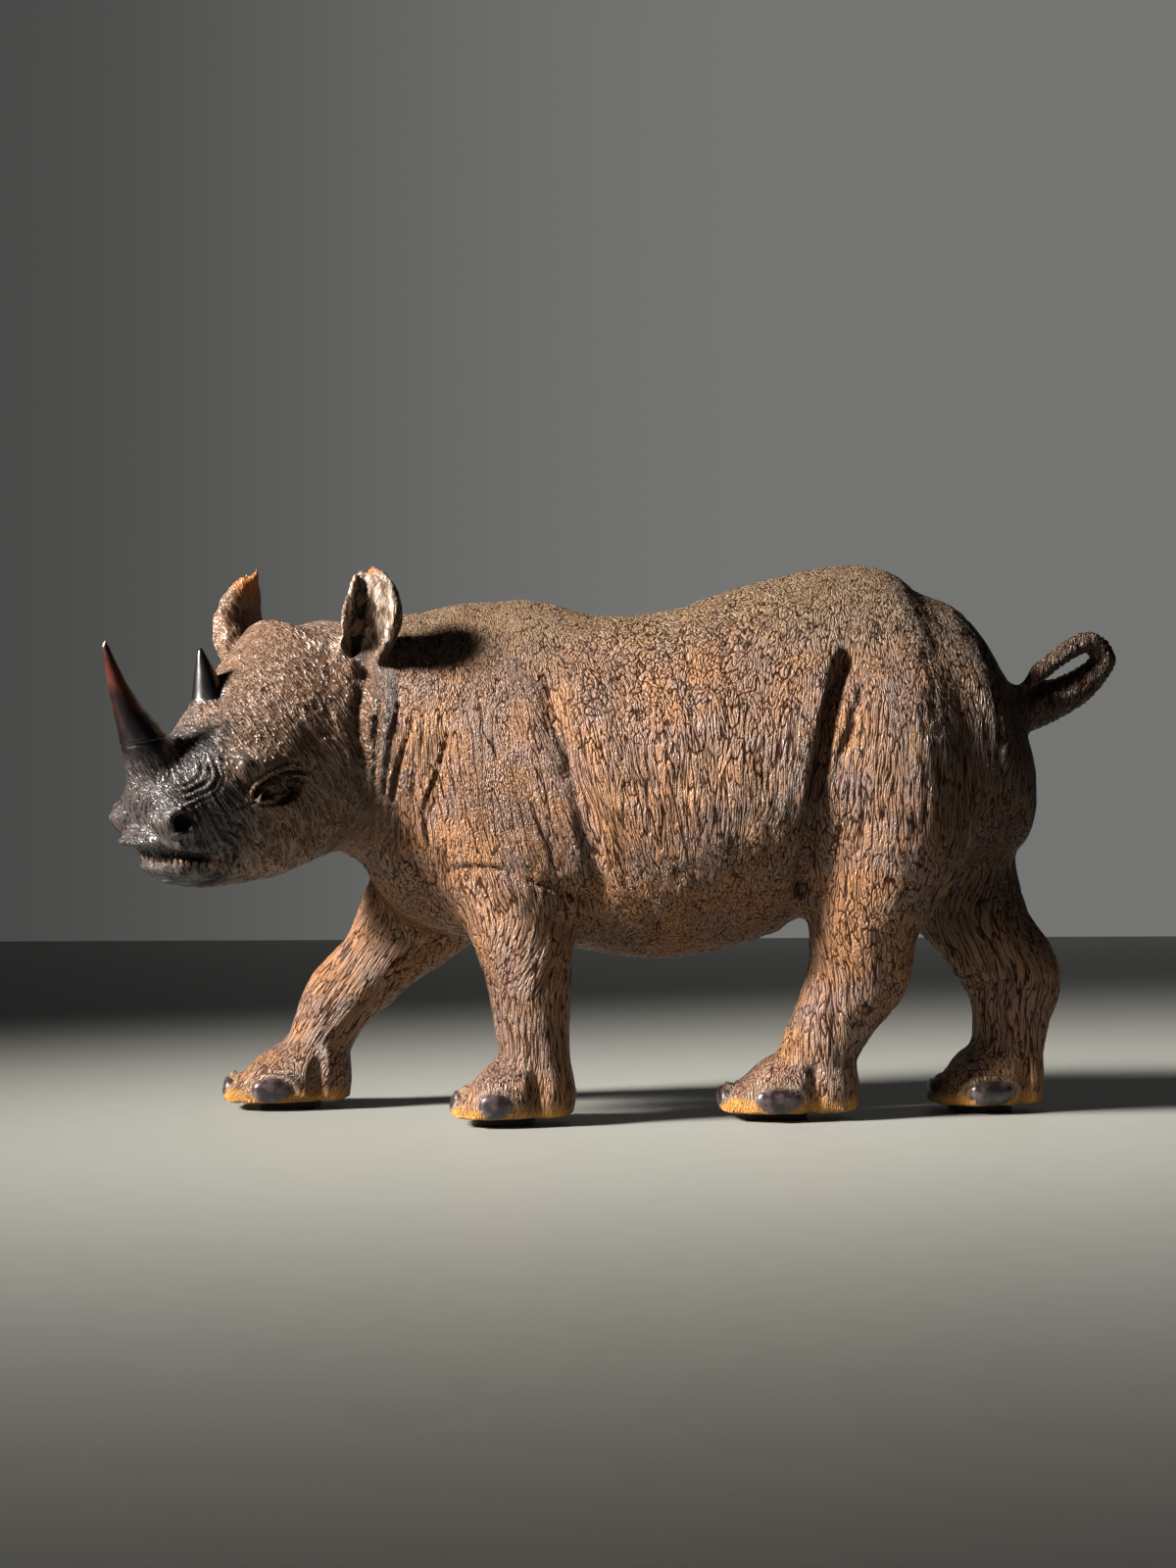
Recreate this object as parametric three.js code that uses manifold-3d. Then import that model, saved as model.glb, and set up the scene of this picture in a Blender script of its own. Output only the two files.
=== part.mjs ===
// A carved rhinoceros, walking, on four felt pads. Millimetres, +Z up, head towards -X.
// The near side is -Y. The animal is one solid: its skin is the surface where a field of smoothly
// joined oval limbs is zero, worked out on a grid and then thinned to a few thousand triangles.
import * as THREE from "three";
import { mergeVertices } from "three/addons/utils/BufferGeometryUtils.js";
import Module from "manifold-3d";

// Driving dimensions.
const PAD = { length: 30, width: 26, thick: 4, corner: 5 };
const CELL = 2.2; // grid step of the first, fine surface
const TRIANGLES = 9300; // of the finished animal
const FAR = 24; // a limb further away than this has no pull on a join

// How far forms flow into each other where they meet.
const BLEND = {
  neck: 24, leg: 14, skull: 12, foot: 8, brow: 6, lid: 5, horn: 5, ear: 5, tail: 5,
  pit: 2, earRim: 1.5, nail: 1.2, eyeball: 0.8,
};
// Parts of the animal that lie wholly on one side of a plane, so that other places skip them.
const ZONE = { headBefore: -60, tailAfter: 200, faceBelow: 200, bellyFolds: 90 };

// The head is turned towards the near side about a point between the ears, and tilted a little.
const HEAD = { x: -147, y: -10, turn: 43, tilt: 4 };
const turn = THREE.MathUtils.degToRad(HEAD.turn);
const tilt = THREE.MathUtils.degToRad(HEAD.tilt);
const ahead = new THREE.Vector3(-Math.cos(turn), -Math.sin(turn), 0);
const nearSide = new THREE.Vector3(Math.sin(turn), -Math.cos(turn), 0);

// A place on the head: so far ahead of the ears, so far to the near side, so high.
function onHead(forward, side, height) {
  return [
    HEAD.x + ahead.x * forward + nearSide.x * side,
    HEAD.y + ahead.y * forward + nearSide.y * side,
    height - side * Math.sin(tilt),
  ];
}

// Sections of each limb: centre x, y, z, then its reach to the top or back, to the underside or
// front, and to each side.
const TORSO = [
  [-92, 0, 185, 73, 57, 46],
  [-70, 0, 175, 93, 76, 55],
  [-40, 0, 165, 103, 77, 60],
  [0, 0, 162, 97.5, 77, 66],
  [40, 0, 160, 101, 80, 69],
  [80, 0, 163, 105.5, 71.5, 67],
  [115, 0, 175, 104, 51, 62],
  [145, 0, 180, 105, 54, 57],
  [172, 0, 181, 95, 52, 53],
  [189, 0, 183, 89, 53, 47],
  [203, 0, 187, 85, 56, 44],
];
const NECK = [
  [-60, 0, 178, 90, 66, 54],
  [-92, -2, 185, 80, 54, 55],
  [-120, -7, 192, 68, 46, 53],
  [-140, -10, 196, 60, 46, 49],
];
const SKULL = [
  [...onHead(-6, 0, 200), 62.5, 54, 49],
  [...onHead(20, 0, 184), 50.5, 57, 50],
  [...onHead(46, 0, 167), 40, 50, 43],
  [...onHead(70, 0, 154), 32, 38, 34],
  [...onHead(86, 0, 148), 25, 29, 28],
];
const FRONT_HORN = [
  [...onHead(81, 0, 166), 17, 17, 16],
  [...onHead(88, 0, 180), 15, 14, 13.5],
  [...onHead(94.6, 0, 192), 11.5, 10.5, 10.5],
  [...onHead(100.6, 0, 201.8), 7.6, 7.4, 7.4],
  [...onHead(107.4, 0, 216), 4.6, 4.5, 4.6],
  [...onHead(112, 0, 228), 2.7, 2.6, 2.7],
  [...onHead(115, 0, 237.5), 1.2, 1.2, 1.2],
];
const REAR_HORN = [
  [...onHead(51, 0, 196), 14, 13, 14],
  [...onHead(55.5, 0, 209), 10.2, 10.2, 10.2],
  [...onHead(58.9, 0, 225), 5.4, 5.3, 5.3],
  [...onHead(62, 0, 236.2), 1.4, 1.4, 1.4],
];
const NEAR_FORELEG = [
  [-50, -30, 165, 34, 36, 24],
  [-38, -37, 125, 34, 34, 24],
  [-35, -38, 105, 28, 28, 22],
  [-30, -37, 78, 22, 23, 20],
  [-28, -36, 54, 18.5, 20.5, 18],
  [-26, -36, 34, 16, 18, 17],
];
const FAR_FORELEG = [
  [-60, 28, 150, 40, 38, 24],
  [-89, 36, 107, 33, 33, 25],
  [-113, 36, 76, 20.5, 23, 19],
  [-133, 35, 57, 19, 20.5, 18],
  [-144, 34, 36, 17, 17, 18],
  [-148, 34, 24, 16, 17, 18],
];
const NEAR_HIND_LEG = [
  [150, -24, 195, 42, 45, 34],
  [150, -29, 150, 44, 44, 34],
  [143, -30, 118, 36, 34, 27],
  [138.5, -27, 95, 28, 27, 22],
  [136.5, -24, 75, 26.5, 25.5, 19],
  [127, -22, 55, 21.5, 21.5, 18],
  [118, -21, 36, 18.5, 20, 18],
];
const FAR_HIND_LEG = [
  [165, 24, 195, 43, 45, 34],
  [181, 26, 150, 43.5, 42, 34],
  [196, 20, 116, 33.5, 32, 26],
  [210, 14, 89, 26, 25, 21],
  [220, 11, 68, 27.5, 23, 19],
  [220, 10, 46, 21, 19, 18],
  [218, 9, 28, 18, 18, 18],
];
const TAIL = [
  [218, 2, 207, 14, 14, 11],
  [236, 3, 212, 12, 12, 10.5],
  [250, 3, 217, 9.5, 9.5, 9.5],
  [262, 2, 225, 8, 8, 8],
  [270, 0, 236, 5.8, 5.8, 6],
  [262, -3, 243.3, 5.4, 5.4, 5.4],
  [250, -6, 239, 5.1, 5.1, 5.1],
  [240, -7, 231.5, 4.6, 4.6, 4.6],
  [227, -6, 222.5, 4.6, 4.6, 4.4],
];
// Feet: heel x, y, toe x, the middle and half length of the side nails, and the notch before the heel.
const FEET = [
  { heel: -26, y: -36, toe: -60, nail: -46, long: 8, notch: -27 },
  { heel: -147, y: 34, toe: -187, nail: -167, long: 10, notch: -144 },
  { heel: 118, y: -19, toe: 74, nail: 94, long: 11.5, notch: 112 },
  { heel: 218, y: 9, toe: 186, nail: 206, long: 12, notch: 224 },
];
const NOTCH = { wide: 2.6, deep: 5, high: 30, fade: 8, inner: [8, 16], outer: [28, 34] };
const FOOT_ROWS = (foot) => [
  [foot.heel + 4, foot.y, 15, 20, 20, 19],
  [(foot.heel * 2 + foot.toe) / 3, foot.y, 14, 20, 18, 23],
  [(foot.heel + foot.toe * 2) / 3, foot.y, 9, 17, 14, 24],
  [foot.toe, foot.y, 5, 10, 9, 19],
];

// Carved folds as lines seen from the side, in x, z, on both flanks: half width and depth.
const FOLDS = [
  { line: [[129, 229], [121, 207], [114, 173], [109, 140], [106, 118]], wide: 4.5, deep: 7 },
  { line: [[136, 222], [130, 200], [124, 172]], wide: 4, deep: 2.5 },
  { line: [[-71, 189], [-76, 168], [-79, 142]], wide: 3.5, deep: 4 },
  { line: [[-22, 222], [-10, 180], [-1, 154], [5, 117]], wide: 6, deep: 3 },
  { line: [[-71, 124], [-52, 128], [-29, 123], [0, 111]], wide: 3, deep: 2.5 },
  { line: [[-110, 232], [-114, 200], [-108, 160], [-104, 140]], wide: 3.5, deep: 3 },
  { line: [[-94, 222], [-93, 185], [-90, 145]], wide: 3.5, deep: 2.5 },
];
const FLANK = { from: 12, to: 34 }; // how far off the middle the folds begin and reach their depth
const RIBS = { first: 12, spacing: 12.5, count: 4, low: 165, high: 228, lean: 0.16, wide: 5, deep: 1.3 };
for (let i = 0; i < RIBS.count; i++) {
  const x = RIBS.first + i * RIBS.spacing;
  const line = [[x, RIBS.high], [x + (RIBS.high - RIBS.low) * RIBS.lean, RIBS.low]];
  FOLDS.push({ line, wide: RIBS.wide, deep: RIBS.deep });
}

const STEPS = 6; // pieces of centre line between two sections

function smoothMin(a, b, blend) {
  const h = Math.max(blend - Math.abs(a - b), 0) / blend;
  return Math.min(a, b) - h * h * blend * 0.25;
}

// The distance field of a chain of oval sections along a smooth centre line.
function limb(rows, side, capShare = 1) {
  const last = (rows.length - 1) * STEPS;
  const centres = new THREE.CatmullRomCurve3(rows.map((r) => new THREE.Vector3(r[0], r[1], r[2])));
  const reaches = new THREE.CatmullRomCurve3(rows.map((r) => new THREE.Vector3(r[3], r[4], r[5])));
  const points = [];
  for (let i = 0; i <= last; i++) {
    const at = centres.getPoint(i / last);
    const reach = reaches.getPoint(i / last);
    const along = centres.getTangent(i / last);
    const across = side.clone().addScaledVector(along, -side.dot(along)).normalize();
    const deep = new THREE.Vector3().crossVectors(along, across);
    points.push({ at, reach, along, across, deep });
  }
  const box = new THREE.Box3().setFromPoints(points.map((p) => p.at));
  const widest = Math.max(...rows.map((r) => Math.max(r[3], r[4], r[5])));
  box.expandByScalar(widest);
  const flat = new Float64Array(points.length * 3);
  points.forEach((p, i) => p.at.toArray(flat, i * 3));

  return (x, y, z) => {
    const outX = Math.max(box.min.x - x, x - box.max.x, 0);
    const outY = Math.max(box.min.y - y, y - box.max.y, 0);
    const outZ = Math.max(box.min.z - z, z - box.max.z, 0);
    const out = Math.hypot(outX, outY, outZ);
    if (out > FAR) return out;
    let nearest = Infinity;
    let best = 0;
    let share = 0;
    for (let i = 0; i < last; i++) {
      const k = i * 3;
      const ex = flat[k + 3] - flat[k];
      const ey = flat[k + 4] - flat[k + 1];
      const ez = flat[k + 5] - flat[k + 2];
      const px = x - flat[k];
      const py = y - flat[k + 1];
      const pz = z - flat[k + 2];
      const t = Math.min(1, Math.max(0, (px * ex + py * ey + pz * ez) / (ex * ex + ey * ey + ez * ez)));
      const gap = (px - t * ex) ** 2 + (py - t * ey) ** 2 + (pz - t * ez) ** 2;
      if (gap < nearest) {
        nearest = gap;
        best = i;
        share = t;
      }
    }
    const a = points[best];
    const b = points[best + 1];
    const mix = (u, v) => u + (v - u) * share;
    const qx = x - mix(a.at.x, b.at.x);
    const qy = y - mix(a.at.y, b.at.y);
    const qz = z - mix(a.at.z, b.at.z);
    const dot = (u, v) => qx * mix(u.x, v.x) + qy * mix(u.y, v.y) + qz * mix(u.z, v.z);
    const inDepth = dot(a.deep, b.deep);
    const inWidth = dot(a.across, b.across);
    const up = mix(a.reach.x, b.reach.x);
    const down = mix(a.reach.y, b.reach.y);
    const wide = mix(a.reach.z, b.reach.z);
    const pastEnd = (best === 0 && share === 0) || (best === last - 1 && share === 1);
    const beyond = pastEnd ? dot(a.along, b.along) : 0;
    const cap = Math.min(up, down, wide) * capShare;
    const ratio = Math.hypot(inDepth / (inDepth > 0 ? up : down), inWidth / wide, beyond / cap);
    const length = Math.hypot(inDepth, inWidth, beyond);
    return ratio < 1e-6 ? -wide : length * (1 - 1 / ratio);
  };
}

// Ears: thin pointed cups that open to one side. Each row of an ear is its height above the
// ear's foot, its place to the side, then its reach to the back, to the front and to each side.
const EAR = { forward: 1, foot: 229, wall: 3.5, shift: 0.4, gape: 5 };
const NEAR_EAR = {
  faces: THREE.MathUtils.degToRad(-112),
  rows: [
    [0, 43, 9, 10, 10],
    [14, 53, 11, 8, 13],
    [27, 59.5, 12, 7, 16],
    [39, 58.5, 9, 6, 14],
    [49, 53, 3.4, 3.4, 7],
  ],
};
const FAR_EAR = {
  faces: THREE.MathUtils.degToRad(128),
  rows: [
    [0, -46, 9, 10, 11],
    [14, -58, 10, 9, 14.5],
    [28, -61, 9, 8, 14.5],
    [42, -54.5, 6.5, 6.5, 9.5],
    [57.5, -41.5, 1.8, 1.8, 2.4],
  ],
};
function ear({ faces, rows }) {
  const opening = new THREE.Vector3(Math.cos(faces), Math.sin(faces), 0);
  const side = new THREE.Vector3(-opening.y, opening.x, 0);
  const outer = rows.map(([rise, out, back, front, wide]) => [
    ...onHead(EAR.forward, out, EAR.foot + rise), back, front, wide,
  ]);
  const inner = rows.slice(1).map(([rise, out, back, front, wide]) => {
    const wall = Math.min(EAR.wall, wide * 0.5);
    const place = new THREE.Vector3(...onHead(EAR.forward, out, EAR.foot + rise));
    place.addScaledVector(opening, EAR.shift);
    return [...place.toArray(), back - Math.min(wall, back * 0.5), front + EAR.gape, wide - wall];
  });
  const shell = limb(outer, side);
  const hollow = limb(inner, side, 1.5);
  return (x, y, z) => -smoothMin(-shell(x, y, z), hollow(x, y, z), BLEND.earRim);
}

// Distance from a point to a line of x, z points.
function besideLine(line, x, z) {
  let nearest = Infinity;
  for (let i = 0; i + 1 < line.length; i++) {
    const [ax, az] = line[i];
    const ex = line[i + 1][0] - ax;
    const ez = line[i + 1][1] - az;
    const t = Math.min(1, Math.max(0, ((x - ax) * ex + (z - az) * ez) / (ex * ex + ez * ez)));
    nearest = Math.min(nearest, Math.hypot(x - ax - t * ex, z - az - t * ez));
  }
  return nearest;
}

// An oval lump: its centre, its three reaches, and the way its first reach points.
function lump([cx, cy, cz], [rx, ry, rz], heading = 0) {
  const cos = Math.cos(heading);
  const sin = Math.sin(heading);
  return (x, y, z) => {
    const u = (x - cx) * cos + (y - cy) * sin;
    const v = (y - cy) * cos - (x - cx) * sin;
    const w = z - cz;
    const ratio = Math.hypot(u / rx, v / ry, w / rz);
    return ratio < 1e-6 ? -Math.min(rx, ry, rz) : Math.hypot(u, v, w) * (1 - 1 / ratio);
  };
}

const acrossBody = new THREE.Vector3(0, 1, 0);
const acrossBack = new THREE.Vector3(0, -1, 0);
const torso = limb(TORSO, acrossBody, 0.6);
const neck = limb(NECK, acrossBack);
const skull = limb(SKULL, nearSide, 0.35);
const legs = [NEAR_FORELEG, FAR_FORELEG, NEAR_HIND_LEG, FAR_HIND_LEG].map((rows) => limb(rows, acrossBody));
const feet = FEET.map((foot) => limb(FOOT_ROWS(foot), acrossBack, 0.8));
const frontHorn = limb(FRONT_HORN, nearSide);
const rearHorn = limb(REAR_HORN, nearSide);
const ears = [ear(NEAR_EAR), ear(FAR_EAR)];
const tail = limb(TAIL, acrossBody);

// Nails: three to a foot, in front and on both sides of the toes.
const NAIL = { height: 12, tall: 6.5, thick: 3.2, front: 9, aside: 21.5, turned: 0.25 };
const nails = FEET.flatMap((foot) => [
  lump([foot.toe - 3, foot.y, NAIL.height], [NAIL.thick + 1.5, NAIL.front, NAIL.tall]),
  ...[-1, 1].map((hand) => {
    const place = [foot.nail, foot.y + hand * NAIL.aside, NAIL.height];
    return lump(place, [foot.long, NAIL.thick, NAIL.tall], -NAIL.turned * hand);
  }),
]);

// Brows, nostril rims and cheeks on both sides of the head, and the pits carved into them.
const bothSides = (forward, side, height, reach, spin = 0) =>
  [1, -1].map((hand) => lump(onHead(forward, hand * side, height), reach, turn + hand * spin));
const FACE = { eye: [43.5, 42, 169], nostril: [89, 22, 152] };
const brows = bothSides(FACE.eye[0] - 1, 36, 181, [20, 9, 7]);
const lids = bothSides(FACE.eye[0] + 1, 37, 162, [14, 8, 5]);
const sockets = bothSides(...FACE.eye, [10, 5, 5.5]);
const eyeballs = bothSides(FACE.eye[0], 36.5, 169.5, [7, 6, 6]);
const nostrilRims = bothSides(FACE.nostril[0] - 3, FACE.nostril[1] - 0.5, FACE.nostril[2], [10, 8, 8.5]);
const nostrils = bothSides(FACE.nostril[0] - 1, FACE.nostril[1] + 8.5, FACE.nostril[2], [4.5, 6, 4]);
const MOUTH = { height: 134, from: 68, fade: 10, wide: 3, deep: 5.5 };
const LIPS = { wide: 7, out: 2 };
const upperLip = lump(onHead(88, -2, 141.5), [12.5, 18, 6], turn);

const join = (d, shapes, blend, x, y, z) =>
  shapes.reduce((sum, shape) => smoothMin(sum, shape(x, y, z), blend), d);
const carve = (d, shapes, blend, x, y, z) =>
  shapes.reduce((sum, shape) => -smoothMin(-sum, shape(x, y, z), blend), d);
const fade = (value, from, to) => THREE.MathUtils.smoothstep(value, from, to);
const dent = (off, wide, deep) => (Math.abs(off) < wide * 3 ? deep * Math.exp(-((off / wide) ** 2)) : 0);

// The head's forms, joined to what is already there.
function withHead(d, x, y, z) {
  d = smoothMin(d, skull(x, y, z), BLEND.skull);
  const forward = (x - HEAD.x) * ahead.x + (y - HEAD.y) * ahead.y;
  const mouthShare = THREE.MathUtils.clamp((forward - MOUTH.from) / MOUTH.fade + 1, 0, 1);
  d -= mouthShare * dent(z - MOUTH.height, LIPS.wide, LIPS.out);
  d += mouthShare * dent(z - MOUTH.height, MOUTH.wide, MOUTH.deep);
  if (forward > 0 && z < ZONE.faceBelow) {
    d = join(d, [upperLip], BLEND.lid, x, y, z);
    d = join(d, brows, BLEND.brow, x, y, z);
    d = join(d, lids, BLEND.lid, x, y, z);
    d = join(d, nostrilRims, BLEND.brow, x, y, z);
    d = carve(d, sockets, BLEND.pit, x, y, z);
    d = join(d, eyeballs, BLEND.eyeball, x, y, z);
    d = carve(d, nostrils, BLEND.pit, x, y, z);
  }
  d = join(d, [frontHorn, rearHorn], BLEND.horn, x, y, z);
  return join(d, ears, BLEND.ear, x, y, z);
}

// The dark notch beside each heel runs up the outside of the foot and fades out above it.
function notchDepth(foot, x, y, z) {
  const aside = Math.abs(y - foot.y);
  const share = Math.min(1, (NOTCH.high - z) / NOTCH.fade);
  const onSide = fade(aside, ...NOTCH.inner) * (1 - fade(aside, ...NOTCH.outer));
  return share * onSide * dent(x - foot.notch, NOTCH.wide, NOTCH.deep);
}

// The whole animal: below zero inside, above zero outside.
function field(x, y, z) {
  let d = smoothMin(torso(x, y, z), neck(x, y, z), BLEND.neck);
  if (x < ZONE.headBefore) d = withHead(d, x, y, z);
  legs.forEach((leg, i) => {
    const lower = smoothMin(leg(x, y, z), feet[i](x, y, z), BLEND.foot);
    d = smoothMin(d, lower, BLEND.leg);
  });
  if (z < NOTCH.high) {
    for (const foot of FEET) d += notchDepth(foot, x, y, z);
    d = join(d, nails, BLEND.nail, x, y, z);
  }
  if (x > ZONE.tailAfter) d = smoothMin(d, tail(x, y, z), BLEND.tail);
  const aside = fade(Math.abs(y), FLANK.from, FLANK.to);
  if (aside > 0 && z > ZONE.bellyFolds) {
    for (const fold of FOLDS) d += aside * dent(besideLine(fold.line, x, z), fold.wide, fold.deep);
  }
  return d;
}

// The six tetrahedra that share a cube's long diagonal, as corner steps, with their handedness.
const AXES = [1, 2, 4];
const TETRAHEDRA = [[0, 1, 2], [1, 2, 0], [2, 0, 1], [0, 2, 1], [2, 1, 0], [1, 0, 2]].map((order, i) => ({
  corners: [0, AXES[order[0]], AXES[order[0]] | AXES[order[1]], 7],
  sign: i < 3 ? 1 : -1,
}));
const EVEN = [[0, 1, 2, 3], [1, 0, 3, 2], [2, 3, 0, 1], [3, 2, 1, 0]];
const PAIRS = {
  3: [0, 1, 2, 3], 5: [0, 2, 3, 1], 9: [0, 3, 1, 2],
  6: [1, 2, 0, 3], 10: [1, 3, 2, 0], 12: [2, 3, 0, 1],
};
const BLOCK = 4; // cells along the side of a block that is skipped when it is far from the skin

// The surface where the field is zero, by marching tetrahedra.
function skinOf(box) {
  const size = box.getSize(new THREE.Vector3());
  const cells = size.toArray().map((s) => Math.ceil(s / CELL / BLOCK) * BLOCK);
  const [nx, ny, nz] = cells.map((n) => n + 1);
  const values = new Float32Array(nx * ny * nz).fill(NaN);
  const place = (i) => [
    box.min.x + (i % nx) * CELL,
    box.min.y + (Math.floor(i / nx) % ny) * CELL,
    box.min.z + Math.floor(i / (nx * ny)) * CELL,
  ];
  const value = (i) => {
    if (Number.isNaN(values[i])) values[i] = field(...place(i));
    return values[i];
  };
  const step = (corner) => (corner & 1) + ((corner >> 1) & 1) * nx + ((corner >> 2) & 1) * nx * ny;
  const vertexOf = new Map();
  const positions = [];
  const triangles = [];
  const vertex = (base, from, to) => {
    const low = base + step(Math.min(from, to));
    const key = low * 8 + (from ^ to);
    if (!vertexOf.has(key)) {
      const high = base + step(Math.max(from, to));
      const t = Math.min(0.9, Math.max(0.1, value(low) / (value(low) - value(high))));
      const a = place(low);
      const b = place(high);
      vertexOf.set(key, positions.length / 3);
      positions.push(...a.map((v, k) => v + (b[k] - v) * t));
    }
    return vertexOf.get(key);
  };
  const face = (sign, a, b, c) => triangles.push(a, sign > 0 ? b : c, sign > 0 ? c : b);
  const nearSkin = BLOCK * CELL * 2;
  for (let bz = 0; bz < cells[2]; bz += BLOCK)
    for (let by = 0; by < cells[1]; by += BLOCK)
      for (let bx = 0; bx < cells[0]; bx += BLOCK) {
        const middle = [bx, by, bz].map((v, k) => box.min.getComponent(k) + (v + BLOCK / 2) * CELL);
        if (Math.abs(field(...middle)) > nearSkin) continue;
        for (let k = 0; k < BLOCK ** 3; k++) {
          const x = bx + (k % BLOCK);
          const y = by + (Math.floor(k / BLOCK) % BLOCK);
          const z = bz + Math.floor(k / BLOCK ** 2);
          const base = x + y * nx + z * nx * ny;
          for (const { corners, sign } of TETRAHEDRA) {
            const inside = corners.map((corner) => value(base + step(corner)) < 0);
            const count = inside.filter(Boolean).length;
            if (count === 0 || count === 4) continue;
            const edge = (i, j) => vertex(base, corners[i], corners[j]);
            if (count === 2) {
              const mask = inside.reduce((m, v, i) => m | (v ? 1 << i : 0), 0);
              const [i, j, m, n] = PAIRS[mask];
              face(sign, edge(i, m), edge(i, n), edge(j, n));
              face(sign, edge(i, m), edge(j, n), edge(j, m));
            } else {
              const single = inside.indexOf(count === 1);
              const [i, j, m, n] = EVEN[single];
              face(count === 1 ? sign : -sign, edge(i, j), edge(i, m), edge(i, n));
            }
          }
        }
      }
  return { positions, triangles };
}

// A binary heap of edges, cheapest first.
class EdgeHeap {
  constructor() {
    this.items = [];
  }
  push(item) {
    const items = this.items;
    let at = items.push(item) - 1;
    while (at > 0) {
      const parent = (at - 1) >> 1;
      if (items[parent].cost <= item.cost) break;
      items[at] = items[parent];
      at = parent;
    }
    items[at] = item;
  }
  pop() {
    const items = this.items;
    const top = items[0];
    const item = items.pop();
    if (items.length === 0) return top;
    let at = 0;
    for (;;) {
      let child = at * 2 + 1;
      if (child >= items.length) break;
      if (child + 1 < items.length && items[child + 1].cost < items[child].cost) child++;
      if (items[child].cost >= item.cost) break;
      items[at] = items[child];
      at = child;
    }
    items[at] = item;
    return top;
  }
}

const KEEP_TURN = 0.35; // a facet may not turn further than this cosine in one collapse
const HEAD_CARE = 4; // how much closer the thinned skin keeps to the head than to the rest
const EVEN_OUT = 2e-3; // weight of edge length, which keeps the facets compact

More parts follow.
